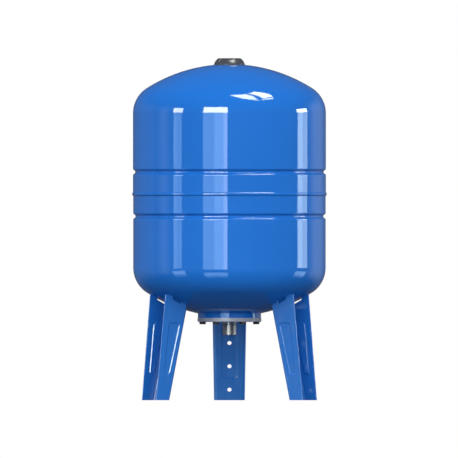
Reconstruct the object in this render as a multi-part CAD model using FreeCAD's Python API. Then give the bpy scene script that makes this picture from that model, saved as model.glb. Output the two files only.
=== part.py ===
import FreeCAD, Part
import math
import os

from FreeCAD import Rotation, Vector

# Vertical pressure tank for a well or booster pump, about 80 litres.
# Two deep-drawn halves are lap welded. A rubber bag for the water hangs from the neck at the bottom.
# Three folded channel legs carry the tank, and an air valve sits under a low cover on top.
# Sizes are in millimetres. Z is up, the floor is z = 0 and the tank's axis is the Z axis.
# The front of the tank faces -Y: one leg stands behind the axis and two in front of it.

# Body of the tank
body_r = 225.0              # outside radius of the upper half
body_wall = 1.5             # sheet thickness of both halves
underside_z = 194.8         # lowest point of the lower head above the floor
body_length = 589.0         # from the lower head's lowest point to the upper head's highest
crown_r = 360.0             # outside radius of each head's crown
knuckle_r = 69.3            # outside radius of each head's knuckle

# Lap joint of the halves: the lower one is stepped in and slips inside the upper one
joint_z = 480.4             # height of the upper half's edge, in the middle of the bead
lower_step = 0.6            # how far the lower half's side stands inside the upper one's
lap_gap = 0.1               # radial clearance between the lip and the upper half
lap_length = 10.0           # how far the lip reaches above the upper half's edge
joggle_length = 3.0         # height over which the lower half steps in to its lip
joggle_below = 1.2          # how far below the upper half's edge the step ends
bead_height = 8.4           # height of the weld bead
bead_rise = 2.0             # how far the bead stands out from the upper half

# Rolled grooves, one in each half
groove_offset = 51.7        # from the joint to the middle of a groove
groove_mouth = 16.0         # height of the groove's mouth
groove_depth = 5.3
groove_lip_r = 4.0          # outside radius of the rounded edges of the mouth

# Neck ring under the lower head, bored for the bag and tapped for the flange bolts
spigot_r = 50.0             # part of the ring that stands in the head's opening
spigot_wall = 6.0           # from the spigot's side in to the ring's bore
spigot_rise = 2.0           # how far the spigot reaches past the inside of the head
opening_gap = 0.2           # radial clearance between the spigot and the head's opening
ring_weld = 3.0             # leg of the fillet weld between spigot and head
ring_below = 2.9            # how far the ring's face stands below the lower head
lip_seat_width = 12.0       # width of the recess for the bag's lip, round the bore
lip_seat_depth = 3.5
bolt_inset = 6.5            # from that recess out to the middle of the bolts
ring_margin = 11.1          # from there out to the ring's side

# Flange plate with its water nipple
flange_overhang = 0.9       # how far the plate stands out past the ring
flange_thickness = 9.6
flange_round = 2.6          # rounding of the plate's lower edge
flange_break = 0.6          # small rounding of the upper edge
nipple_r = 16.85            # outside radius of one-inch pipe
nipple_bore_r = 13.6
thread_r = 16.62            # outside radius of a one-inch pipe thread
thread_length = 25.0
relief_r = 15.1             # groove where the thread ends
relief_length = 2.6
nipple_drop = 30.5          # how far the nipple reaches below the plate
nipple_rise = 3.0           # how far it reaches above the plate, inside the neck
nipple_chamfer = 1.4
nipple_gap = 0.1            # radial clearance between nipple and plate
nipple_weld = 2.6           # leg of the fillet weld on the plate's upper face

# Hexagon bolts, M8
bolt_count = 6
bolt_r = 4.0
bolt_length = 16.0          # under the head
bolt_head_width = 13.0      # across the flats
bolt_head_height = 5.3
bolt_hole_r = 4.5           # clearance hole in the plate
thread_gap = 0.05           # radial clearance in each threaded hole

# Rubber bag, as moulded
bag_side_gap = 37.9         # between the bag and the lower half's inside
bag_wall = 2.2
bag_neck_gap = 0.4          # radial clearance of its neck in the ring
bag_mouth_wall = 5.6        # wall of the neck, down to its lip
bag_lip_gap = 0.2           # radial clearance of the lip in its recess
bag_throat_r = 18.0         # rounding between neck and bag
bag_throat_rise = 22.0      # height of that rounding's centre above the ring's face
bag_straight = 130.0        # straight length between the rounded ends

# Air valve on top
valve_r = 6.0               # threaded body of the stem
valve_hole_gap = 0.2
valve_tip_r = 3.85
valve_bore_r = 2.65
valve_tip_rise = 9.6        # how far the tip stands above the head
valve_foot_r = 11.0         # flange on the stem, inside the tank
valve_foot_height = 3.0
valve_tail = 8.0            # stem below its flange
valve_tail_r = 5.0
gasket_height = 2.0
gasket_gap = 0.1            # radial clearance round the stem
washer_r = 11.0
washer_height = 1.2
nut_width = 17.0            # across the flats
nut_height = 4.0
core_r = 2.6
core_length = 20.0
core_recess = 1.0           # how far the core's body stands below the tip
core_pin_r = 0.75
core_pin_rise = 0.7         # how far its pin stands above the core's body
dust_cap_r = 5.2
dust_cap_height = 5.6
dust_cap_roof = 1.0
dust_cap_flutes = 12
flute_r = 0.6

# Low cover over the air valve
cover_top_r = 25.4
cover_base_r = 36.4
cover_height = 13.7         # above the head
cover_bulge = 1.9           # how far the side arches out between rim and base
cover_wall = 2.8
cover_rim_round = 1.0
cover_skirt = 5.0           # how far the side is drawn down before the head trims it
grip_count = 5
grip_first = 27.0           # first grip, in degrees from the front towards +X
grip_r = 3.2
grip_depth = 1.5            # depth of a grip in the middle of the side
grip_rim_depth = 1.3        # depth of a grip at the rim
grip_length = 0.62          # share of the side that a grip covers, from the rim
socket_wall = 1.8           # wall of the tube that clips over the nut
socket_gap = 0.05
socket_lift = 0.4           # clearance between that tube and the washer

# Legs, each a folded channel with its web towards the axis and its open side outwards
leg_angles = {"leg_rear": 90.0, "leg_left": 210.0, "leg_right": 330.0}
leg_sheet = 2.5
web_foot_inset = 45.0       # from the body's side in to the web's face, at the floor
web_lean = 11.7             # degrees
edge_foot_inset = 8.6       # from the body's side in to the free edges, at the floor
edge_lean = 5.4             # degrees
foot_width = 72.6           # across the web at the floor
leg_spread = 1.06           # degrees that each side of the web leans outwards
fold_over = 3.8             # degrees that each flange leans in past square
fold_r = 6.0                # outside radius of the folds
leg_edge_r = 0.7            # rounding of the flanges' free edges
tab_reach = 5.6             # top of the legs above the head where the outer tabs start
outer_tab = 18.9            # width of the tabs beside the free edges
inner_tab = 18.2            # width of the tabs beside the web
recess_depth = 6.0          # gap between head and flange, between the tabs
web_recess_depth = 8.0      # gap between head and web
web_tab = 7.0               # width of web kept beside each fold, up to the head
web_hole_count = 3
web_hole_r = 4.8
web_hole_low = 24.4         # height of the lowest hole
web_hole_pitch = 54.2
leg_bead_r = 2.0            # size of the weld beads on the tabs

# Panels pressed into the legs' web and flanges, towards the inside of the channel
panel_depth = 1.7
panel_flank = 2.2           # width of a panel's sloping border
panel_edge_r = 1.2          # rounding at the foot of the border, outside the channel
tool_lead = 0.8             # how far the pressing tools start before the face
web_panel_low = 50.0
web_panel_high = 183.0
web_panel_width = 38.0
web_panel_round = 8.0
side_panel_low = 60.0
side_panel_high = 181.5
side_panel_low_margin = 14.6    # from the web's face
side_panel_high_margin = 11.5
side_panel_low_width = 15.1
side_panel_high_width = 30.5
side_panel_low_round = 5.2
side_panel_high_round = 8.0

# Heights and radii that follow from the sizes above
top_z = underside_z + body_length
lower_r = body_r - lower_step
lip_r = body_r - body_wall - lap_gap
ring_face_z = underside_z - ring_below
flange_face_z = ring_face_z - flange_thickness
ring_bore_r = spigot_r - spigot_wall
lip_seat_r = ring_bore_r + lip_seat_width
bolt_circle_r = lip_seat_r + bolt_inset
ring_r = bolt_circle_r + ring_margin
flange_r = ring_r + flange_overhang
bag_neck_r = ring_bore_r - bag_neck_gap
bag_mouth_r = bag_neck_r - bag_mouth_wall
bag_r = lower_r - body_wall - bag_side_gap
web_foot_r = body_r - web_foot_inset
edge_foot_r = body_r - edge_foot_inset
axis = Vector(0, 0, 1)
origin = Vector(0, 0, 0)


def point(radius, height):
    return Vector(radius, 0, height)


def tangent(degrees):
    return math.tan(math.radians(degrees))


def arc(centre, radius, first, last):
    """Arc in the XZ plane from one angle to another, in degrees from the X axis."""
    places = []
    for degrees in (first, (first + last) / 2, last):
        angle = math.radians(degrees)
        places.append(centre + point(radius * math.cos(angle), radius * math.sin(angle)))
    return Part.Arc(*places)


def ends(part):
    if isinstance(part, Vector):
        return part, part
    return part.StartPoint, part.EndPoint


def backwards(parts):
    """The same points and arcs, followed from the last to the first."""
    result = []
    for part in reversed(parts):
        if isinstance(part, Vector):
            result.append(part)
        else:
            middle = part.value((part.FirstParameter + part.LastParameter) / 2)
            result.append(Part.Arc(part.EndPoint, middle, part.StartPoint))
    return result


def outline(parts):
    """Closed wire along points and arcs, with straight edges between them."""
    edges = []
    here = ends(parts[-1])[1]
    for part in parts:
        start, end = ends(part)
        if (start - here).Length > 1e-6:
            edges.append(Part.LineSegment(here, start).toShape())
        if not isinstance(part, Vector):
            edges.append(part.toShape())
        here = end
    return Part.Wire(edges)


def turned(parts):
    """Solid turned about the Z axis from its outline in the XZ plane."""
    return Part.Face(outline(parts)).revolve(origin, axis, 360)


def rounded(corners):
    """Closed wire through corners, each given as a point and the radius that rounds it."""
    parts = []
    for index, (corner, radius) in enumerate(corners):
        if radius == 0:
            parts.append(corner)
            continue
        before = (corners[index - 1][0] - corner).normalize()
        after = (corners[(index + 1) % len(corners)][0] - corner).normalize()
        half = before.getAngle(after) / 2
        inwards = (before + after).normalize()
        reach = radius / math.tan(half)
        middle = corner + inwards * (radius / math.sin(half) - radius)
        parts.append(Part.Arc(corner + before * reach, middle, corner + after * reach))
    return outline(parts)


def cylinder(radius, bottom, top):
    return Part.makeCylinder(radius, top - bottom, Vector(0, 0, bottom))


def tube(outer, inner, bottom, top):
    return cylinder(outer, bottom, top).cut(cylinder(inner, bottom, top))


def hexagon(width, bottom, height):
    """Hexagonal prism with its corners turned off at 30 degrees on the lower side."""
    corner_r = width / math.sqrt(3)
    corners = [Vector(corner_r, 0, bottom)]
    for step in range(1, 6):
        corners.append(Rotation(axis, 60 * step).multVec(corners[0]))
    prism = Part.Face(Part.makePolygon(corners + corners[:1])).extrude(Vector(0, 0, height))
    flat_r = width / 2
    cone_height = (corner_r - flat_r) * tangent(30)
    limit = turned([
        point(0, bottom),
        point(flat_r, bottom),
        point(corner_r, bottom + cone_height),
        point(corner_r, bottom + height),
        point(0, bottom + height),
    ])
    return prism.common(limit)


def head(side_r, inset, hole_r):
    """Crown and knuckle of a dished head with its apex at height 0, from a hole to the side."""
    reach = crown_r - knuckle_r
    meet = math.degrees(math.asin((side_r - knuckle_r) / reach))
    crown_centre = point(0, -crown_r)
    knuckle_centre = point(side_r - knuckle_r, reach * math.cos(math.radians(meet)) - crown_r)
    start = math.degrees(math.asin(hole_r / (crown_r - inset)))
    return [
        arc(crown_centre, crown_r - inset, 90 - start, 90 - meet),
        arc(knuckle_centre, knuckle_r - inset, 90 - meet, 0),
    ]


def groove(side_r, height, inset):
    """Three tangent arcs of a groove rolled into the side, followed downwards."""
    half = groove_mouth / 2
    radii = (half ** 2 + groove_depth ** 2) / (2 * groove_depth)
    root_r = radii - groove_lip_r
    slope = math.degrees(math.atan2(half, radii - groove_depth))
    lip_x = side_r - groove_lip_r
    return [
        arc(point(lip_x, height + half), groove_lip_r - inset, 0, -slope),
        arc(point(side_r - groove_depth + root_r, height), root_r + inset, 180 - slope, 180 + slope),
        arc(point(lip_x, height - half), groove_lip_r - inset, slope, 0),
    ]


def upper_side(inset, hole_r):
    """One surface of the upper half, from the valve hole down to its edge."""
    groove_z = joint_z + groove_offset - top_z
    side = head(body_r, inset, hole_r) + groove(body_r, groove_z, inset)
    return side + [point(body_r - inset, joint_z - top_z)]


def lower_side(inset, hole_r):
    """One surface of the lower half, upside down, from the neck opening to its lip."""
    groove_z = underside_z - joint_z + groove_offset
    joggle_end = underside_z - joint_z + joggle_below
    side = head(lower_r, inset, hole_r) + groove(lower_r, groove_z, inset)
    return side + [
        point(lower_r - inset, joggle_end + joggle_length),
        point(lip_r - inset, joggle_end),
        point(lip_r - inset, underside_z - joint_z - lap_length),
    ]


def upright(shape):
    """Turns a shape that was drawn upside down and sets its apex on the lower head's."""
    shape.rotate(origin, Vector(1, 0, 0), 180)
    shape.translate(Vector(0, 0, underside_z))
    return shape


def upper_shell():
    hole_r = valve_r + valve_hole_gap
    shell = turned(upper_side(0, hole_r) + backwards(upper_side(body_wall, hole_r)))
    shell.translate(Vector(0, 0, top_z))
    return shell


def lower_shell():
    hole_r = spigot_r + opening_gap
    return upright(turned(lower_side(0, hole_r) + backwards(lower_side(body_wall, hole_r))))


def below_upper_head(inset=0):
    """Solid that fills the upper head out to its surface, moved in by an inset."""
    solid = turned(head(body_r, inset, 0) + [point(0, -crown_r / 2)])
    solid.translate(Vector(0, 0, top_z))
    return solid


def above_lower_head(inset=0):
    """Solid that fills the lower head out to its surface, moved in by an inset."""
    return upright(turned(head(lower_r, inset, 0) + [point(0, -crown_r / 2)]))


def girth_weld():
    """Bead over the upper half's edge, filled down to the lower half's lip."""
    half = bead_height / 2
    joggle_end = joint_z - joggle_below
    joggle_start = joggle_end - joggle_length
    crest = point(body_r + bead_rise, joint_z)
    bead = Part.Arc(point(lower_r, joggle_start), crest, point(body_r, joint_z + half))
    return turned([
        bead,
        point(body_r, joint_z),
        point(lip_r, joint_z),
        point(lip_r, joggle_end),
    ])


def bolt_places():
    places = []
    for index in range(bolt_count):
        places.append(Rotation(axis, 360 * index / bolt_count).multVec(point(bolt_circle_r, 0)))
    return places


def head_height(radius, inset=0):
    """Height of the lower head's surface at a radius inside its crown."""
    return underside_z + crown_r - math.sqrt((crown_r - inset) ** 2 - radius ** 2)


def neck_ring():
    blank_top = head_height(ring_r) + spigot_rise
    ring = cylinder(ring_r, ring_face_z, blank_top).cut(above_lower_head())
    spigot_top = head_height(spigot_r, body_wall) + spigot_rise
    ring = ring.fuse(cylinder(spigot_r, ring_face_z + lip_seat_depth, spigot_top))
    ring = ring.cut(cylinder(ring_bore_r, ring_face_z, spigot_top))
    ring = ring.cut(cylinder(lip_seat_r, ring_face_z, ring_face_z + lip_seat_depth))
    for place in bolt_places():
        hole = cylinder(bolt_r, ring_face_z, blank_top)
        hole.translate(place)
        ring = ring.cut(hole)
    return ring.removeSplitter()


def neck_weld():
    """Fillet between the spigot and the inside of the lower head."""
    seat = head_height(spigot_r, body_wall)
    foot = spigot_r + ring_weld
    bead = turned([
        point(spigot_r, seat - body_wall),
        point(foot, head_height(foot, body_wall) - body_wall),
        point(foot, head_height(foot, body_wall)),
        point(spigot_r, seat + spigot_rise),
    ])
    return bead.common(above_lower_head(body_wall))


def flange_plate():
    plate = turned([
        point(nipple_r + nipple_gap, flange_face_z),
        arc(point(flange_r - flange_round, flange_face_z + flange_round), flange_round, -90, 0),
        arc(point(flange_r - flange_break, ring_face_z - flange_break), flange_break, 0, 90),
        point(nipple_r + nipple_gap, ring_face_z),
    ])
    for place in bolt_places():
        hole = cylinder(bolt_hole_r, flange_face_z, ring_face_z)
        hole.translate(place)
        plate = plate.cut(hole)
    return plate


def inlet_nipple():
    bottom = flange_face_z - nipple_drop
    return turned([
        point(nipple_bore_r, bottom),
        point(thread_r - nipple_chamfer, bottom),
        point(thread_r, bottom + nipple_chamfer),
        point(thread_r, bottom + thread_length),
        point(relief_r, bottom + thread_length),
        point(relief_r, bottom + thread_length + relief_length),
        point(nipple_r, bottom + thread_length + relief_length),
        point(nipple_r, ring_face_z + nipple_rise),
        point(nipple_bore_r, ring_face_z + nipple_rise),
    ])


def nipple_bead():
    return turned([
        point(nipple_r, ring_face_z),
        point(nipple_r + nipple_weld, ring_face_z),
        point(nipple_r, ring_face_z + nipple_weld),
    ])


def flange_bolts():
    bolts = []
    for place in bolt_places():
        bolt = hexagon(bolt_head_width, flange_face_z - bolt_head_height, bolt_head_height)
        shank = cylinder(bolt_r - thread_gap, flange_face_z, flange_face_z + bolt_length)
        bolt = bolt.fuse(shank)
        bolt.translate(place)
        bolts.append(bolt)
    return Part.makeCompound(bolts)


def bag_side(inset, neck_r):
    """One surface of the bag, from its neck up to the axis."""
    throat_centre = point(bag_neck_r + bag_throat_r, ring_face_z + bag_throat_rise)
    reach = bag_r + bag_throat_r
    rise = math.sqrt(reach ** 2 - throat_centre.x ** 2)
    low_centre = point(0, throat_centre.z + rise)
    high_centre = point(0, low_centre.z + bag_straight)
    meet = math.degrees(math.atan2(rise, throat_centre.x))
    throat = arc(throat_centre, bag_throat_r + inset, 180, 180 - meet)
    return [
        point(neck_r, throat_centre.z),
        throat,
        arc(low_centre, bag_r - inset, -meet, 0),
        arc(high_centre, bag_r - inset, 0, 90),
    ]


def bladder():
    lip_r_outer = lip_seat_r - bag_lip_gap
    lip_top = ring_face_z + lip_seat_depth
    outside = [point(lip_r_outer, ring_face_z), point(lip_r_outer, lip_top), point(bag_neck_r, lip_top)]
    inside = bag_side(bag_wall, bag_neck_r - bag_wall)
    mouth = [point(bag_mouth_r, ring_face_z)]
    step = [point(bag_mouth_r, inside[0].z - bag_mouth_wall)]
    return turned(outside + bag_side(0, bag_neck_r) + backwards(inside) + step + mouth)


def valve_stem():
    foot_top = top_z - body_wall - gasket_height
    foot_bottom = foot_top - valve_foot_height
    thread_end = top_z + washer_height + nut_height
    return turned([
        point(valve_bore_r, foot_bottom - valve_tail),
        point(valve_tail_r, foot_bottom - valve_tail),
        point(valve_tail_r, foot_bottom),
        point(valve_foot_r, foot_bottom),
        point(valve_foot_r, foot_top),
        point(valve_r, foot_top),
        point(valve_r, thread_end),
        point(valve_tip_r, thread_end),
        point(valve_tip_r, top_z + valve_tip_rise),
        point(valve_bore_r, top_z + valve_tip_rise),
    ])


def valve_gasket():
    foot_top = top_z - body_wall - gasket_height
    ring = tube(valve_foot_r, valve_r + gasket_gap, foot_top, top_z)
    return ring.common(below_upper_head(body_wall))


def valve_washer():
    return tube(washer_r, valve_r + valve_hole_gap, top_z, top_z + washer_height)


def valve_nut():
    nut = hexagon(nut_width, -nut_height, nut_height)
    nut.rotate(origin, Vector(1, 0, 0), 180)
    nut.translate(Vector(0, 0, top_z + washer_height))
    return nut.cut(cylinder(valve_r + thread_gap, top_z, top_z + valve_tip_rise))


def valve_core():
    body_top = top_z + valve_tip_rise - core_recess
    body = cylinder(core_r, body_top - core_length, body_top)
    return body.fuse(cylinder(core_pin_r, body_top, body_top + core_pin_rise))


def valve_cap():
    bottom = top_z + washer_height + nut_height
    roof = top_z + valve_tip_rise + thread_gap
    top = bottom + dust_cap_height
    cap = cylinder(dust_cap_r, bottom, top)
    cap = cap.cut(cylinder(valve_tip_r + thread_gap, bottom, min(roof, top - dust_cap_roof)))
    for index in range(dust_cap_flutes):
        flute = cylinder(flute_r, bottom, top)
        place = Rotation(axis, 360 * index / dust_cap_flutes).multVec(point(dust_cap_r, 0))
        flute.translate(place)
        cap = cap.cut(flute)
    return cap


def cover_side(inset):
    """Outline of the cover from its base to the middle of its top."""
    top = top_z + cover_height
    rim = point(cover_top_r, top)
    base = point(cover_base_r, top_z - cover_base_r ** 2 / (2 * crown_r))
    outwards = point(rim.z - base.z, base.x - rim.x).normalize()
    crest = (rim + base) * 0.5 + outwards * (cover_bulge - inset)
    rim = rim - point(inset, inset)
    base = base - point(inset, 0)
    return [point(base.x, base.z - cover_skirt), Part.Arc(base, crest, rim), point(0, rim.z)]


def grip(index):
    """Capsule that presses one finger grip into the side of the cover."""
    side = cover_side(0)[1]
    base, rim = side.StartPoint, side.EndPoint
    outwards = point(rim.z - base.z, base.x - rim.x).normalize()
    first = rim + outwards * (grip_r - grip_rim_depth)
    middle = (rim + base) * 0.5 + outwards * (cover_bulge + grip_r - grip_depth)
    along = (middle - first).normalize()
    last = first + along * ((base - rim).Length * grip_length)
    first = first - along * (2 * grip_r)
    capsule = Part.makeCylinder(grip_r, (last - first).Length, first, along)
    capsule = capsule.fuse(Part.makeSphere(grip_r, last))
    capsule.rotate(origin, axis, grip_first - 90 + 360 * index / grip_count)
    return capsule


def top_cover():
    inside = turned(cover_side(cover_wall) + [point(0, top_z - cover_skirt)])
    cover = turned(cover_side(0) + [point(0, top_z - cover_skirt)]).cut(inside)
    rim_edges = [edge for edge in cover.Edges if is_rim(edge)]
    cover = cover.makeFillet(cover_rim_round, rim_edges)
    socket_r = nut_width / math.sqrt(3) + socket_gap
    socket_bottom = top_z + washer_height + socket_lift
    socket_top = top_z + cover_height - cover_wall / 2
    cover = cover.fuse(tube(socket_r + socket_wall, socket_r, socket_bottom, socket_top))
    cover = cover.cut(below_upper_head())
    for index in range(grip_count):
        cover = cover.cut(grip(index))
    return cover


def is_rim(edge):
    """True for the circle where the cover's side meets its top."""
    box = edge.BoundBox
    top = top_z + cover_height
    on_top = abs(box.ZMin - top) < 1e-6 and abs(box.ZMax - top) < 1e-6
    return on_top and abs(box.XMax - cover_top_r) < 1e-6


def web_face(height):
    """Distance of the web's face from the tank's axis."""
    return web_foot_r - height * tangent(web_lean)


def side_face(height, distance):
    """Point on the outside of a leg's flange, at a horizontal distance from the web's face."""
    half = foot_width / 2 + height * tangent(leg_spread)
    return Vector(web_face(height) + distance, half - distance * tangent(fold_over), height)


def mirrored(place):
    return Vector(place.x, -place.y, place.z)


def edge_face(height):
    """Distance of the flanges' free edges from the tank's axis."""
    return edge_foot_r - height * tangent(edge_lean)


def tab_ends():
    """Distances from the tank's axis between which a flange stands clear of the head."""
    web = web_face(head_height(web_face(underside_z)))
    edge = edge_face(head_height(edge_face(underside_z)))
    return web + inner_tab, edge - outer_tab


def leg_top():
    """Height of the legs' top."""
    start = side_face(underside_z, tab_ends()[1] - web_face(underside_z))
    return head_height(math.hypot(start.x, start.y)) + tab_reach


def channel_corners(height, inset, reach):
    """Two corners of the channel's outline at a height, moved in by a sheet's thickness."""
    over = math.radians(fold_over)
    outer = side_face(height, reach) - Vector(math.sin(over), math.cos(over), 0) * inset
    web_x = web_face(height) + inset / math.cos(math.radians(web_lean))
    run = outer.x - web_x
    return [Vector(web_x, outer.y + run * tangent(fold_over), height), outer]


def prism(low, high):
    """Solid between two outlines of the same number of corners, with plane faces."""
    faces = [Part.Face(Part.makePolygon(ring + ring[:1])) for ring in (low, high)]
    for index in range(len(low)):
        wall = [low[index - 1], low[index], high[index], high[index - 1]]
        faces.append(Part.Face(Part.makePolygon(wall + wall[:1])))
    return Part.Solid(Part.Shell(faces))


def channel_block(low_z, high_z, inset, extra):
    """Full block inside the channel's outline, whose open side is moved out by an extra."""
    rings = []
    for height in (low_z, high_z):
        depth = edge_face(height) - web_face(height)
        corners = channel_corners(height, inset, depth + extra)
        rings.append(corners + [mirrored(corner) for corner in reversed(corners)])
    return prism(*rings)


def fold_edges(shape, inset):
    """The two fold lines of the channel at an inset from its outside."""
    chosen = []
    middle = channel_corners(leg_top() / 2, inset, 0)[0]
    for edge in shape.Edges:
        centre = edge.CenterOfMass
        away = Vector(centre.x, abs(centre.y), centre.z) - middle
        if away.Length < leg_sheet / 2:
            chosen.append(edge)
    return chosen


def free_edges(shape):
    """The four long edges along the free ends of the two flanges."""
    height = leg_top()
    nearest = edge_face(height / 2) - fold_r
    chosen = []
    for edge in shape.Edges:
        if edge.Length > height - fold_r and edge.CenterOfMass.x > nearest:
            chosen.append(edge)
    return chosen


def channel():
    """Folded channel with parallel skins, rounded along both fold lines and its free edges."""
    shape = channel_block(0, leg_top(), 0, 0)
    shape = shape.cut(channel_block(-fold_r, leg_top() + fold_r, leg_sheet, fold_r))
    shape = shape.makeFillet(fold_r, fold_edges(shape, 0))
    shape = shape.makeFillet(fold_r - leg_sheet, fold_edges(shape, leg_sheet))
    return shape.makeFillet(leg_edge_r, free_edges(shape))


def pressing(panel, shift):
    """Tool that presses a panel into a plane face, shifted along the face's inward normal."""
    corners = [corner for corner, radius in panel]
    inwards = (corners[2] - corners[1]).cross(corners[1] - corners[0]).normalize()
    border = rounded(panel)
    mouth = border.makeOffset2D(panel_flank * tool_lead / panel_depth)
    foot = border.makeOffset2D(-panel_flank)
    mouth.translate(inwards * (shift - tool_lead))
    foot.translate(inwards * (shift + panel_depth))
    tool = Part.makeLoft([mouth, foot], True, True)
    foot_edges = []
    for edge in tool.Edges:
        height = (edge.CenterOfMass - corners[0]).dot(inwards) - shift
        if abs(height - panel_depth) < 1e-4:
            foot_edges.append(edge)
    return tool.makeFillet(panel_edge_r, foot_edges)


def web_panel():
    """Corners of the web's panel, each with the radius that rounds it."""
    panel = []
    for side, height in ((1, web_panel_low), (-1, web_panel_low), (-1, web_panel_high), (1, web_panel_high)):
        corner = Vector(web_face(height), side * web_panel_width / 2, height)
        panel.append((corner, web_panel_round))
    return panel


def side_panel():
    """Corners of the panel in the flange on the +Y side, each with the radius that rounds it."""
    low = side_panel_low
    high = side_panel_high
    low_end = side_panel_low_margin + side_panel_low_width
    high_end = side_panel_high_margin + side_panel_high_width
    return [
        (side_face(low, low_end), side_panel_low_round),
        (side_face(low, side_panel_low_margin), side_panel_low_round),
        (side_face(high, side_panel_high_margin), side_panel_high_round),
        (side_face(high, high_end), side_panel_high_round),
    ]


def leg_panels():
    other_side = [(mirrored(corner), radius) for corner, radius in reversed(side_panel())]
    return [web_panel(), side_panel(), other_side]


def trim_block(inner, outer, half_width, depth):
    """Space under the lower head, between two radii, that a leg's top must leave free."""
    block = Part.makeBox(outer - inner, 2 * half_width, leg_top(), Vector(inner, -half_width, 0))
    return block.common(above_lower_head(-depth))


def leg():
    """One leg, standing on the X axis."""
    shape = channel()
    for panel in leg_panels():
        shape = shape.fuse(pressing(panel, leg_sheet))
    for panel in leg_panels():
        shape = shape.cut(pressing(panel, 0))
    lean = math.radians(web_lean)
    through = Vector(math.cos(lean), 0, math.sin(lean))
    for index in range(web_hole_count):
        height = web_hole_low + index * web_hole_pitch
        start = Vector(web_face(height), 0, height) - through * fold_r
        shape = shape.cut(Part.makeCylinder(web_hole_r, 3 * fold_r, start, through))
    shape = shape.cut(above_lower_head())
    shape = shape.cut(trim_block(*tab_ends(), foot_width, recess_depth))
    web_half = side_face(underside_z, 0).y - web_tab
    web_back = web_face(underside_z) + fold_r
    shape = shape.cut(trim_block(web_face(leg_top()) - fold_r, web_back, web_half, web_recess_depth))
    return shape


def leg_beads(leg_shape):
    """Weld beads along the outside of the four tabs of the leg on the X axis."""
    centre = Vector(0, 0, underside_z + crown_r)
    corners = [corner for corner, radius in side_panel()]
    normal = (corners[1] - corners[0]).cross(corners[2] - corners[1]).normalize()
    away = normal.dot(centre - corners[0])
    foot = centre - normal * away
    bead = Part.makeTorus(math.sqrt(crown_r ** 2 - away ** 2), leg_bead_r, foot, normal)
    beads = []
    inner_end, outer_start = tab_ends()
    inner_start = web_face(underside_z) - leg_sheet
    for start, end in ((inner_start, inner_end), (outer_start, edge_foot_r)):
        space = Part.makeBox(end - start, foot_width, leg_top(), Vector(start, 0, 0))
        piece = bead.common(space).cut(above_lower_head()).cut(leg_shape)
        outside = max(piece.Solids, key=lambda solid: solid.CenterOfMass.y)
        beads.append(outside)
        beads.append(outside.mirror(origin, Vector(0, 1, 0)))
    return Part.makeCompound(beads)


def placed(shape, degrees):
    copy = shape.copy()
    copy.rotate(origin, axis, degrees)
    return copy


parts = {
    "upper_shell": upper_shell(),
    "lower_shell": lower_shell(),
    "girth_weld": girth_weld(),
    "neck_ring": neck_ring(),
    "neck_weld": neck_weld(),
    "flange_plate": flange_plate(),
    "inlet_nipple": inlet_nipple(),
    "nipple_weld": nipple_bead(),
    "flange_bolts": flange_bolts(),
    "bladder": bladder(),
    "valve_stem": valve_stem(),
    "valve_gasket": valve_gasket(),
    "valve_washer": valve_washer(),
    "valve_nut": valve_nut(),
    "valve_core": valve_core(),
    "valve_cap": valve_cap(),
    "top_cover": top_cover(),
}
one_leg = leg()
one_set_of_beads = leg_beads(one_leg)
for leg_name, leg_angle in leg_angles.items():
    parts[leg_name] = placed(one_leg, leg_angle)
    parts[leg_name + "_welds"] = placed(one_set_of_beads, leg_angle)

os.makedirs("parts", exist_ok=True)
for name, shape in parts.items():
    shape.exportStep(os.path.join("parts", name + ".step"))
    print(name, len(shape.Solids), "solids", round(shape.Volume / 1000, 2), "cm3", shape.isValid())
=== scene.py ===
import math

import bmesh
import bpy
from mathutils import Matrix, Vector


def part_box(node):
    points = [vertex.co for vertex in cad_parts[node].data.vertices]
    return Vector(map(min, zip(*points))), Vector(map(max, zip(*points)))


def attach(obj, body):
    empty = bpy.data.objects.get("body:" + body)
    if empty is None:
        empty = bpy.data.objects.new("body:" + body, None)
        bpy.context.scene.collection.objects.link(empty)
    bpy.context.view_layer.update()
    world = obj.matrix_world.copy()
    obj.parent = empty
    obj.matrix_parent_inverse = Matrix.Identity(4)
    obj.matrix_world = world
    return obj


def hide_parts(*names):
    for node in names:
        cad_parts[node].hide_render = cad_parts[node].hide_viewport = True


# Looks of a vertical pressure tank in blue enamel on three folded legs.
# Sizes are in metres and angles in degrees. The tank's axis is the Z axis, the floor is z = 0
# and the front faces -Y. Azimuths start at the front and grow towards +X.

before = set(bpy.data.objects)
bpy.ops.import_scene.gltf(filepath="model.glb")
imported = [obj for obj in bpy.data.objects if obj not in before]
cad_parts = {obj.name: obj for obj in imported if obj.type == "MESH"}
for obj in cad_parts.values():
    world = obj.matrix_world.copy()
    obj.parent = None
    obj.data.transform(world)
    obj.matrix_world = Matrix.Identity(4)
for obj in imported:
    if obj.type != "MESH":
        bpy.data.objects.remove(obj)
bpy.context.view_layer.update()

# The photograph is level and without perspective
photo_size = 458
metres_per_pixel = 0.0023316
axis_pixel = 229.43         # column of the tank's axis
floor_pixel = 400.2         # row of the floor
camera_distance = 3.0

# Turned outside of the shell, as in the CAD
body_bottom = 0.1948        # where the lower crown would close, under its opening
body_length = 0.589         # from there to where the upper crown would close
crown_r = 0.36
knuckle_r = 0.0693
groove_offset = 0.0517      # from the joint to the middle of a groove
groove_mouth = 0.016
groove_depth = 0.0053
groove_lip_r = 0.004
bead_half_height = 0.0042

# Thread of the water nipple
thread_r = 0.01662
thread_root_r = 0.0151
thread_pitch = 0.002309
thread_length = 0.025
thread_fade = 0.0012        # length over which the thread rises and falls at its ends
thread_crest_share = 0.28   # flat part of each crest and root
relief_length = 0.0026
nipple_bore_r = 0.0136
nipple_break = 0.0004       # small chamfer at the bore's mouth
thread_sides = 96
rows_per_turn = 10
same_place = 0.0000001      # points closer than this are one
sharp_angle = 30

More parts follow.
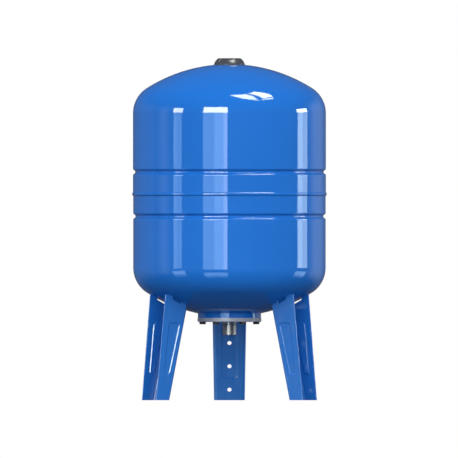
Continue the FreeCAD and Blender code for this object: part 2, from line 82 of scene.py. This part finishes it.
# Light on the tank by elevation, strongest from the front and from behind
sky_light = [(0, 1.65), (20, 1.65), (30, 2.7), (48, 2.7), (60, 0)]
sky_light_round = 0.3       # share of it that comes from all round
even_light = 0.3            # light that comes from everywhere
floor_r = 40.0
floor_sides = 96
floor_pale = 0.85           # to the camera
floor_dark = 0.17           # to the tank

# What the enamel mirrors: far-off lights in a dark studio, placed by azimuth and elevation
surroundings_r = 80.0
surroundings_height = 0.4   # height of their middle
studio_r = 84.0             # walls behind the lights
studio_segments = 48
studio_rings = 24
softbox_steps = 6
wall_colour = (0.8, 0.9, 1.0)
wall_shades = [
    (-180, 0.08), (-141, 0.22), (-108, 0.44), (-98, 0.3), (-85, 0.95), (-75, 0.3), (-50, 0.2),
    (6, 0.28), (40, 0.2), (102, 0.2), (112, 0.46), (123, 0.95), (131, 0.8), (141, 0.6),
    (154, 0.23), (180, 0.08),
]
wall_elevation = 12.0       # farther up and down the walls fade to one plain shade
overhead_shade = 0.11
floor_shade = 0.06
blue_light = (0.5, 0.77, 1.0)
pale_light = (0.74, 0.95, 1.0)
bright_light = (0.96, 1.0, 0.86)
lilac_light = (0.58, 0.73, 1.0)
# Name, azimuths, elevations, strength and colour of each upright light
tall_lights = [
    ("left_light", (-70.8, -66), (-2.8, 2.3), 4.4, blue_light),
    ("left_light_inner", (-66, -59.2), (-2.8, 2.3), 3.6, blue_light),
    ("front_light", (-31.8, -18), (-7.1, 2.3), 4.2, blue_light),
    ("front_light_right", (-18, -7), (-7.1, 2.3), 6.3, blue_light),
    ("front_light_edge", (-7, -2.4), (-7.1, 2.3), 9.0, lilac_light),
    ("right_light", (90, 98.5), (-0.9, 2.3), 7.7, pale_light),
    ("right_light_back", (98.5, 107.5), (-0.9, 2.3), 5.0, pale_light),
]
bright_lights = [
    ("left_bright", (-71.5, -58), (2.3, 17), 16, bright_light),
    ("front_bright", (-31.5, -2), (2.3, 23), 22, bright_light),
    ("right_bright", (88.5, 107.5), (2.3, 11.5), 20, bright_light),
]
floor_glints = [            # the same lights seen in the floor, fading away below
    ("left_glint", (-74, -56), (-22.2, -10.5), 4.6, blue_light),
    ("left_glint_end", (-74, -56), (-28.9, -22.2), 1.6, blue_light),
    ("front_glint", (-32, -2), (-31.9, -18.6), 4.1, blue_light),
    ("front_glint_end", (-32, -2), (-38.3, -31.9), 1.6, blue_light),
    ("right_glint", (88, 107), (-19.7, -9.5), 4.4, blue_light),
    ("right_glint_end", (88, 107), (-24.9, -19.7), 1.9, blue_light),
]
# Corners of each pane, low left, low right, high right and high left, and its strength
window_panes = [
    ([(32, 52), (47.5, 46.5), (46, 51), (30, 54)], 12),
    ([(29, 54.5), (46, 51.7), (55, 75.5), (2, 75)], 20),
    ([(51, 48), (72, 47.5), (79, 51.8), (56, 51.5)], 18),
    ([(58, 54), (82, 54.3), (115, 74), (69, 76)], 21),
]


def setup_camera():
    """Level camera without perspective, with the photograph's scale and middle."""
    data = bpy.data.cameras.new("camera")
    data.type = "ORTHO"
    data.ortho_scale = photo_size * metres_per_pixel
    camera = bpy.data.objects.new("camera", data)
    middle = photo_size / 2
    across = (middle - axis_pixel) * metres_per_pixel
    up = (floor_pixel - middle) * metres_per_pixel
    camera.location = (across, -camera_distance, up)
    camera.rotation_euler = (math.radians(90), 0, 0)
    bpy.context.scene.collection.objects.link(camera)
    bpy.context.scene.camera = camera


def new_material(name, values):
    """Material whose shader has these values on its own sockets."""
    material = bpy.data.materials.new(name)
    material.use_nodes = True
    shader = material.node_tree.nodes["Principled BSDF"]
    for socket, value in values.items():
        shader.inputs[socket].default_value = value
    return material, material.node_tree, shader


def place(tree, stretch=(1, 1, 1)):
    """Position on the object in metres, stretched along each axis."""
    coordinates = tree.nodes.new("ShaderNodeTexCoord")
    mapping = tree.nodes.new("ShaderNodeMapping")
    mapping.inputs["Scale"].default_value = stretch
    tree.links.new(coordinates.outputs["Object"], mapping.inputs["Vector"])
    return mapping.outputs["Vector"]


def noise(tree, scale, detail=2.0, stretch=(1, 1, 1)):
    """Soft noise from 0 to 1, with a scale in cycles a metre."""
    texture = tree.nodes.new("ShaderNodeTexNoise")
    texture.inputs["Scale"].default_value = scale
    texture.inputs["Detail"].default_value = detail
    tree.links.new(place(tree, stretch), texture.inputs["Vector"])
    return texture.outputs["Fac"]


def cells(tree, scale):
    """Flat grey cells from 0 to 1, like zinc crystals."""
    texture = tree.nodes.new("ShaderNodeTexVoronoi")
    texture.inputs["Scale"].default_value = scale
    tree.links.new(place(tree), texture.inputs["Vector"])
    separate = tree.nodes.new("ShaderNodeSeparateColor")
    tree.links.new(texture.outputs["Color"], separate.inputs["Color"])
    return separate.outputs["Red"]


def spread(tree, value, low, high, start=0.3, end=0.7):
    """The value, taken from between start and end to between low and high."""
    node = tree.nodes.new("ShaderNodeMapRange")
    node.inputs["From Min"].default_value = start
    node.inputs["From Max"].default_value = end
    node.inputs["To Min"].default_value = low
    node.inputs["To Max"].default_value = high
    tree.links.new(value, node.inputs["Value"])
    return node.outputs["Result"]


def vary_colour(tree, shader, value, first, second):
    """Base colour between two colours, by a value from 0 to 1."""
    mix = tree.nodes.new("ShaderNodeMix")
    mix.data_type = "RGBA"
    colours = [socket for socket in mix.inputs if socket.type == "RGBA"]
    colours[0].default_value = (*first, 1)
    colours[1].default_value = (*second, 1)
    result = [socket for socket in mix.outputs if socket.type == "RGBA"][0]
    tree.links.new(value, mix.inputs["Factor"])
    tree.links.new(result, shader.inputs["Base Color"])


def vary_roughness(tree, shader, scale, low, high):
    """Roughness between two values, by a noise with a scale in cycles a metre."""
    roughness = spread(tree, noise(tree, scale), low, high)
    tree.links.new(roughness, shader.inputs["Roughness"])


def bumps(tree, shader, layers, profile=None):
    """Relief from pairs of a value and its height in metres, over a surface that may be turned."""
    below = turned_normal(tree, profile) if profile else None
    for value, height in layers:
        bump = tree.nodes.new("ShaderNodeBump")
        bump.inputs["Distance"].default_value = height
        tree.links.new(value, bump.inputs["Height"])
        if below is not None:
            tree.links.new(below, bump.inputs["Normal"])
        below = bump.outputs["Normal"]
    tree.links.new(below, shader.inputs["Normal"])


def axes(tree, kind="Object"):
    """X, Y and Z of the position on the object, or of another kind of coordinates."""
    coordinates = tree.nodes.new("ShaderNodeTexCoord")
    separate = tree.nodes.new("ShaderNodeSeparateXYZ")
    tree.links.new(coordinates.outputs[kind], separate.inputs["Vector"])
    return separate.outputs


def calculate(tree, operation, *values):
    """Result of a sum on one or two values, each a node's output or a number."""
    node = tree.nodes.new("ShaderNodeMath")
    node.operation = operation
    for socket, value in zip(node.inputs, values):
        if isinstance(value, bpy.types.NodeSocket):
            tree.links.new(value, socket)
        else:
            socket.default_value = value
    return node.outputs["Value"]


def calculate_vector(tree, operation, first, second=None):
    """Result of a sum on a vector and, for most sums, a second vector or a number."""
    node = tree.nodes.new("ShaderNodeVectorMath")
    node.operation = operation
    tree.links.new(first, node.inputs[0])
    if second is not None:
        tree.links.new(second, node.inputs["Scale" if operation == "SCALE" else 1])
    return node.outputs["Value" if operation == "DOT_PRODUCT" else "Vector"]


def turned_normal(tree, profile):
    """Exact normal of a turned wall, finer than its mesh gives.

    The profile's pairs are a height and the sine of the normal's tilt there, from the bottom up.
    """
    height = axes(tree)["Z"]
    sine = profile[0][1]
    for (low, first), (high, second) in zip(profile, profile[1:]):
        if first != second:
            rise = spread(tree, height, 0, second - first, low, high)
            sine = calculate(tree, "ADD", sine, rise)
    square = calculate(tree, "MULTIPLY", sine, sine)
    cosine = calculate(tree, "SQRT", calculate(tree, "SUBTRACT", 1.0, square))
    outwards = calculate_vector(tree, "NORMALIZE", place(tree, (1, 1, 0)))
    level = calculate_vector(tree, "SCALE", outwards, cosine)
    upright = tree.nodes.new("ShaderNodeCombineXYZ")
    tree.links.new(sine, upright.inputs["Z"])
    outside = calculate_vector(tree, "ADD", level, upright.outputs["Vector"])
    geometry = tree.nodes.new("ShaderNodeNewGeometry")
    facing = calculate_vector(tree, "DOT_PRODUCT", outside, geometry.outputs["Normal"])
    side = calculate(tree, "SIGN", facing)
    return calculate_vector(tree, "SCALE", outside, side)


def groove_profile(middle):
    """Heights and tilts of a rolled groove: a lip, the hollow and the other lip."""
    half = groove_mouth / 2
    tilt = 2 * groove_depth * half / (half ** 2 + groove_depth ** 2)
    hollow = half - groove_lip_r * tilt
    return [(middle - half, 0), (middle - hollow, tilt), (middle + hollow, -tilt), (middle + half, 0)]


def head_profile(side_r, apex, up):
    """Heights and tilts from a head's knuckle to its apex.

    Up is 1 for the upper head and -1 for the lower.
    """
    reach = crown_r - knuckle_r
    rise = math.sqrt(reach ** 2 - (side_r - knuckle_r) ** 2)
    knuckle = apex - up * (crown_r - rise)
    tilt = up * rise / reach
    return [(knuckle, 0), (knuckle + knuckle_r * tilt, tilt), (apex, up)]


def shell_profile():
    """Heights and tilts of both halves of the shell, from the bottom up."""
    low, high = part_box("upper_shell")
    lower_head = head_profile(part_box("lower_shell")[1].x, body_bottom, -1)
    lower_groove = groove_profile(low.z - groove_offset)
    upper_groove = groove_profile(low.z + groove_offset)
    upper_head = head_profile(high.x, body_bottom + body_length, 1)
    return lower_head[::-1] + lower_groove + upper_groove + upper_head


def bead_profile():
    """Heights and tilts of the weld bead, an arc from the lower half over its crest to the upper."""
    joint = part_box("upper_shell")[0].z
    low = Vector((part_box("lower_shell")[1].x, joint - bead_half_height))
    crest = Vector((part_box("girth_weld")[1].x, joint))
    high = Vector((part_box("upper_shell")[1].x, joint + bead_half_height))
    first = crest - low
    second = high - low
    across = Vector((second.y, -second.x)) * first.length_squared
    across += Vector((-first.y, first.x)) * second.length_squared
    centre = low + across / (2 * first.cross(second))
    radius = (crest - centre).length
    return [(centre.y - radius, -1), (centre.y + radius, 1)]


def enamel(name, dark, pale, rough, profile=None):
    """Baked enamel with a faint orange peel."""
    material, tree, shader = new_material(name, {"IOR": 1.5})
    vary_colour(tree, shader, spread(tree, noise(tree, 5), 0, 1), dark, pale)
    vary_roughness(tree, shader, 35, rough * 0.7, rough * 1.3)
    bumps(tree, shader, [(noise(tree, 240), 0.0000015), (noise(tree, 22, 1), 0.000008)], profile)
    return material


def weld_enamel(name, profile=None):
    """The same enamel over a weld bead's ripples."""
    material, tree, shader = new_material(name, {"IOR": 1.5, "Roughness": 0.02})
    shade = spread(tree, noise(tree, 60), 0, 1)
    vary_colour(tree, shader, shade, (0.0130, 0.160, 0.615), (0.0155, 0.177, 0.675))
    bumps(tree, shader, [(noise(tree, 330, 1, (1, 1, 0.15)), 0.000001)], profile)
    return material


def zinc():
    """Zinc-plated steel with faint crystals."""
    material, tree, shader = new_material("zinc", {"Metallic": 0.05, "Specular IOR Level": 0.3})
    vary_colour(tree, shader, cells(tree, 160), (0.37, 0.40, 0.50), (0.42, 0.45, 0.56))
    vary_roughness(tree, shader, 90, 0.42, 0.56)
    bumps(tree, shader, [(noise(tree, 700), 0.00002)])
    return material


def turned_steel():
    """Steel with the fine rings that a cutting tool leaves."""
    material, tree, shader = new_material("turned_steel", {"Metallic": 1.0})
    shade = spread(tree, noise(tree, 60, 3), 0, 1)
    vary_colour(tree, shader, shade, (0.32, 0.32, 0.34), (0.40, 0.40, 0.43))
    vary_roughness(tree, shader, 40, 0.36, 0.44)
    bumps(tree, shader, [(noise(tree, 40, 3, (1, 1, 90)), 0.000006)])
    return material


def weld_metal():
    """Bare weld metal with its ripples and heat tint."""
    material, tree, shader = new_material("weld_metal", {"Metallic": 1.0})
    shade = spread(tree, noise(tree, 90, 3), 0, 1)
    vary_colour(tree, shader, shade, (0.26, 0.25, 0.25), (0.44, 0.42, 0.40))
    vary_roughness(tree, shader, 200, 0.3, 0.5)
    bumps(tree, shader, [(noise(tree, 500), 0.0001)])
    return material


def black_oxide():
    """Blackened steel of the bolts, with paler rubbed places."""
    material, tree, shader = new_material("black_oxide", {"Specular IOR Level": 0.2})
    shade = spread(tree, noise(tree, 250, 4), 0, 1, 0.35, 0.8)
    vary_colour(tree, shader, shade, (0.004, 0.004, 0.007), (0.010, 0.011, 0.016))
    vary_roughness(tree, shader, 400, 0.36, 0.52)
    bumps(tree, shader, [(noise(tree, 1500), 0.00001)])
    return material


def rubber():
    """Matt rubber with a fine grain."""
    material, tree, shader = new_material("rubber", {"IOR": 1.5})
    shade = spread(tree, noise(tree, 40, 3), 0, 1)
    vary_colour(tree, shader, shade, (0.017, 0.017, 0.018), (0.032, 0.031, 0.030))
    vary_roughness(tree, shader, 120, 0.6, 0.78)
    bumps(tree, shader, [(noise(tree, 900), 0.00003)])
    return material


def brass():
    """Brass with the fine rings that a cutting tool leaves."""
    material, tree, shader = new_material("brass", {"Metallic": 1.0})
    shade = spread(tree, noise(tree, 150, 3), 0, 1)
    vary_colour(tree, shader, shade, (0.62, 0.45, 0.19), (0.78, 0.59, 0.30))
    vary_roughness(tree, shader, 200, 0.22, 0.36)
    bumps(tree, shader, [(noise(tree, 60, 2, (1, 1, 60)), 0.00001)])
    return material


def moulded_plastic(name, dark, pale, rough):
    """Moulded plastic with a fine grain."""
    material, tree, shader = new_material(name, {"IOR": 1.48})
    vary_colour(tree, shader, spread(tree, noise(tree, 70, 3), 0, 1), dark, pale)
    vary_roughness(tree, shader, 150, rough * 0.8, rough * 1.25)
    bumps(tree, shader, [(noise(tree, 1100), 0.000004), (noise(tree, 60, 1), 0.00002)])
    return material


def thread_height(turns):
    """Height of the thread from 0 at its root to 1 at its crest, by the turns along the helix."""
    along = turns % 1.0
    flank = 0.5 - thread_crest_share
    rise = (abs(along - 0.5) - thread_crest_share / 2) / flank
    return 1 - min(max(rise, 0), 1)


def thread_column(side, low, high):
    """Points of one column of the thread from its low to its high end, as radius and height."""
    column = []
    rows = math.ceil((high - low) / thread_pitch + 1) * rows_per_turn
    for row in range(rows + 1):
        turns = row / rows_per_turn + side / thread_sides - 1
        z = min(max(low + turns * thread_pitch, low), high)
        fade = min((z - low) / thread_fade, (high - z) / thread_fade, 1)
        height = min(thread_height(turns), fade)
        column.append((thread_root_r + (thread_r - thread_root_r) * height, z))
    return column


def water_nipple():
    """The water nipple, with a cut thread between its end and the relief groove."""
    low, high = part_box("inlet_nipple")
    thread_end = low.z + thread_length
    relief_end = thread_end + relief_length
    closing = [
        (thread_root_r, relief_end),
        (high.x, relief_end),
        (high.x, high.z),
        (nipple_bore_r, high.z),
        (nipple_bore_r, low.z + nipple_break),
        (nipple_bore_r + nipple_break, low.z),
    ]
    points = []
    for side in range(thread_sides):
        angle = 2 * math.pi * side / thread_sides
        for radius, z in thread_column(side, low.z, thread_end) + closing:
            points.append((radius * math.cos(angle), radius * math.sin(angle), z))
    rows = len(points) // thread_sides
    last_helix_row = rows - len(closing) - 1

    def index(side, row):
        """A point's index. Past the last column the helix goes on one turn higher."""
        row = row % rows
        if side == thread_sides and row <= last_helix_row:
            row = min(row + rows_per_turn, last_helix_row)
        return side % thread_sides * rows + row

    faces = []
    for side in range(thread_sides):
        for row in range(rows):
            low_pair = (index(side, row), index(side + 1, row))
            high_pair = (index(side + 1, row + 1), index(side, row + 1))
            faces.append(low_pair + high_pair)
    return build_piece("threaded_nipple", points, faces)


def build_piece(name, points, faces):
    """Object from points and faces, with coincident points joined and sharp edges kept."""
    mesh = bpy.data.meshes.new(name)
    mesh.from_pydata(points, [], faces)
    shape = bmesh.new()
    shape.from_mesh(mesh)
    bmesh.ops.remove_doubles(shape, verts=shape.verts, dist=same_place)
    bmesh.ops.dissolve_degenerate(shape, edges=shape.edges, dist=same_place)
    bmesh.ops.recalc_face_normals(shape, faces=shape.faces)
    shape.to_mesh(mesh)
    shape.free()
    mesh.shade_smooth()
    mesh.set_sharp_from_angle(angle=math.radians(sharp_angle))
    piece = bpy.data.objects.new(name, mesh)
    bpy.context.scene.collection.objects.link(piece)
    return piece


def reflections_only(piece):
    """Lets only mirror-like rays see an object of the surroundings."""
    piece.visible_camera = False
    piece.visible_diffuse = False
    piece.visible_transmission = False
    piece.visible_volume_scatter = False
    piece.visible_shadow = False


def glow(name, colour, strength):
    """Material that shines evenly."""
    material = bpy.data.materials.new(name)
    material.use_nodes = True
    tree = material.node_tree
    tree.nodes.clear()
    emission = tree.nodes.new("ShaderNodeEmission")
    emission.inputs["Color"].default_value = (*colour, 1)
    emission.inputs["Strength"].default_value = strength
    output = tree.nodes.new("ShaderNodeOutputMaterial")
    tree.links.new(emission.outputs["Emission"], output.inputs["Surface"])
    return material


def direction(azimuth, elevation):
    """Point at distance 1 in a direction from the middle of the surroundings."""
    turn = math.radians(azimuth)
    tilt = math.radians(elevation)
    return Vector((math.sin(turn) * math.cos(tilt), -math.cos(turn) * math.cos(tilt), math.sin(tilt)))


def softbox(name, corners, strength, colour):
    """Shining far-off panel between four corners, each an azimuth and an elevation.

    The corners come in this order: low left, low right, high right, high left.
    """
    points = []
    faces = []
    count = softbox_steps + 1
    for row in range(count):
        for column in range(count):
            across = column / softbox_steps
            up = row / softbox_steps
            low = Vector(corners[0]).lerp(Vector(corners[1]), across)
            high = Vector(corners[3]).lerp(Vector(corners[2]), across)
            points.append(direction(*low.lerp(high, up)) * surroundings_r)
    for row in range(softbox_steps):
        for column in range(softbox_steps):
            first = row * count + column
            faces.append((first, first + 1, first + 1 + count, first + count))
    mesh = bpy.data.meshes.new(name)
    mesh.from_pydata(points, [], faces)
    mesh.materials.append(glow(name, colour, strength))
    panel = bpy.data.objects.new(name, mesh)
    panel.location = (0, 0, surroundings_height)
    bpy.context.scene.collection.objects.link(panel)
    reflections_only(panel)


def graph(tree, value, stops):
    """Value read from a graph of pairs, each a place from 0 to 1 and a value."""
    ramp = tree.nodes.new("ShaderNodeValToRGB")
    tree.links.new(value, ramp.inputs["Fac"])
    elements = ramp.color_ramp.elements
    for stop in stops[1:-1]:
        elements.new(stop[0])
    elements[0].position = stops[0][0]
    elements[-1].position = stops[-1][0]
    for element, (position, level) in zip(elements, stops):
        element.color = (level, level, level, 1)
    return ramp.outputs["Color"]


def shade_walls(material):
    """Makes the studio's walls paler and darker by azimuth, and plain overhead and below."""
    tree = material.node_tree
    position = axes(tree)
    front = calculate(tree, "MULTIPLY", position["Y"], -1.0)
    azimuth = calculate(tree, "ARCTAN2", position["X"], front)
    turn = spread(tree, azimuth, 0, 1, -math.pi, math.pi)
    shade = graph(tree, turn, [((degrees + 180) / 360, level) for degrees, level in wall_shades])
    wall_top = surroundings_r * math.sin(math.radians(wall_elevation))
    for limit, plain in ((wall_top, overhead_shade), (-wall_top, floor_shade)):
        mix = tree.nodes.new("ShaderNodeMix")
        beyond = spread(tree, position["Z"], 0, 1, limit, 2 * limit)
        tree.links.new(beyond, mix.inputs["Factor"])
        tree.links.new(shade, mix.inputs["A"])
        mix.inputs["B"].default_value = plain
        shade = mix.outputs["Result"]
    tree.links.new(shade, tree.nodes["Emission"].inputs["Strength"])


def dim_studio():
    """Dim walls of the studio, seen only in reflections."""
    bpy.ops.mesh.primitive_uv_sphere_add(
        segments=studio_segments,
        ring_count=studio_rings,
        radius=studio_r,
        location=(0, 0, surroundings_height),
    )
    walls = bpy.context.object
    walls.name = "studio_walls"
    material = glow("studio_walls", wall_colour, overhead_shade)
    shade_walls(material)
    walls.data.materials.append(material)
    reflections_only(walls)


def softboxes():
    """Tall lights round the tank with bright upper parts, their glints from the floor, and a window."""
    for name, azimuths, elevations, strength, colour in tall_lights + bright_lights + floor_glints:
        left, right = azimuths
        low, high = elevations
        corners = [(left, low), (right, low), (right, high), (left, high)]
        softbox(name, corners, strength, colour)
    for index, (corners, strength) in enumerate(window_panes):
        softbox(f"window_{index}", corners, strength, bright_light)


def matt_grey(tree, shade):
    """Matt shader of one grey."""
    diffuse = tree.nodes.new("ShaderNodeBsdfDiffuse")
    diffuse.inputs["Color"].default_value = (shade, shade, shade, 1)
    return diffuse.outputs["BSDF"]


def mix_shaders(tree, factor, first, second):
    """Mix of two shaders: only the first where the factor is 0, only the second where it is 1."""
    mix = tree.nodes.new("ShaderNodeMixShader")
    tree.links.new(factor, mix.inputs["Fac"])
    tree.links.new(first, mix.inputs[1])
    tree.links.new(second, mix.inputs[2])
    return mix.outputs["Shader"]


def pale_floor():
    """Pale to the camera, with the tank's shadow on it. To the tank itself it is a dark floor."""
    bpy.ops.mesh.primitive_circle_add(vertices=floor_sides, radius=floor_r, fill_type="NGON")
    floor = bpy.context.object
    floor.name = "floor"
    floor.visible_glossy = False
    material = bpy.data.materials.new("floor")
    material.use_nodes = True
    tree = material.node_tree
    tree.nodes.clear()
    path = tree.nodes.new("ShaderNodeLightPath")
    output = tree.nodes.new("ShaderNodeOutputMaterial")
    dark = matt_grey(tree, floor_dark)
    pale = matt_grey(tree, floor_pale)
    mix = mix_shaders(tree, path.outputs["Is Camera Ray"], dark, pale)
    tree.links.new(mix, output.inputs["Surface"])
    floor.data.materials.append(material)


def world_light():
    """White behind the tank, and soft light on it."""
    world = bpy.data.worlds.new("studio")
    bpy.context.scene.world = world
    world.cycles.sampling_method = "NONE"   # smooth light needs no importance sampling
    world.use_nodes = True
    tree = world.node_tree
    tree.nodes.clear()
    heading = axes(tree, "Generated")
    stops = [(math.sin(math.radians(degrees)), level) for degrees, level in sky_light]
    sky = graph(tree, heading["Z"], stops)
    facing = calculate(tree, "MULTIPLY", heading["Y"], heading["Y"])
    share = spread(tree, facing, sky_light_round, 2 - sky_light_round, 0, 1)
    shaped = calculate(tree, "MULTIPLY", sky, share)
    soft = tree.nodes.new("ShaderNodeBackground")
    tree.links.new(calculate(tree, "ADD", shaped, even_light), soft.inputs["Strength"])
    white = tree.nodes.new("ShaderNodeBackground")
    white.inputs["Color"].default_value = (1, 1, 1, 1)
    white.inputs["Strength"].default_value = 1
    path = tree.nodes.new("ShaderNodeLightPath")
    seen = path.outputs["Is Camera Ray"]
    for output in ("Is Glossy Ray", "Is Transmission Ray"):
        seen = calculate(tree, "MAXIMUM", seen, path.outputs[output])
    result = tree.nodes.new("ShaderNodeOutputWorld")
    mix = mix_shaders(tree, seen, soft.outputs["Background"], white.outputs["Background"])
    tree.links.new(mix, result.inputs["Surface"])


def paint(material, *names):
    """Gives CAD nodes a material."""
    for name in names:
        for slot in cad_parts[name].material_slots:
            slot.material = material


def paint_frame():
    """Gives every CAD node its material."""
    dark = (0.0135, 0.165, 0.635)
    pale = (0.0155, 0.177, 0.675)
    paint(enamel("shell_enamel", dark, pale, 0.037, shell_profile()), "upper_shell", "lower_shell")
    paint(enamel("ring_enamel", dark, pale, 0.037), "neck_ring")
    # The legs get the shell's blue made darker and less saturated as painted shade under the tank, in a
    # rougher enamel.
    painted_shade_leg_enamel = enamel("painted_shade_leg_enamel", (0.0155, 0.160, 0.565), (0.0175, 0.171, 0.605), 0.165)
    paint(painted_shade_leg_enamel, "leg_rear", "leg_left", "leg_right")
    paint(weld_enamel("bead_enamel", bead_profile()), "girth_weld")
    paint(weld_enamel("weld_enamel"), "leg_rear_welds", "leg_left_welds", "leg_right_welds")
    paint(zinc(), "flange_plate", "valve_washer", "valve_nut")
    paint(weld_metal(), "neck_weld", "nipple_weld")
    paint(black_oxide(), "flange_bolts")
    paint(rubber(), "bladder", "valve_gasket")
    paint(brass(), "valve_stem", "valve_core")
    cap_plastic = moulded_plastic("cap_plastic", (0.012, 0.012, 0.013), (0.02, 0.02, 0.021), 0.4)
    cover_plastic = moulded_plastic("cover_plastic", (0.056, 0.062, 0.074), (0.070, 0.076, 0.090), 0.24)
    paint(cap_plastic, "valve_cap")
    paint(cover_plastic, "top_cover")


bpy.context.scene.view_settings.view_transform = "Standard"
setup_camera()
paint_frame()
nipple = water_nipple()
nipple.data.materials.append(turned_steel())
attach(nipple, "root")
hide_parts("inlet_nipple")
world_light()
pale_floor()
dim_studio()
softboxes()
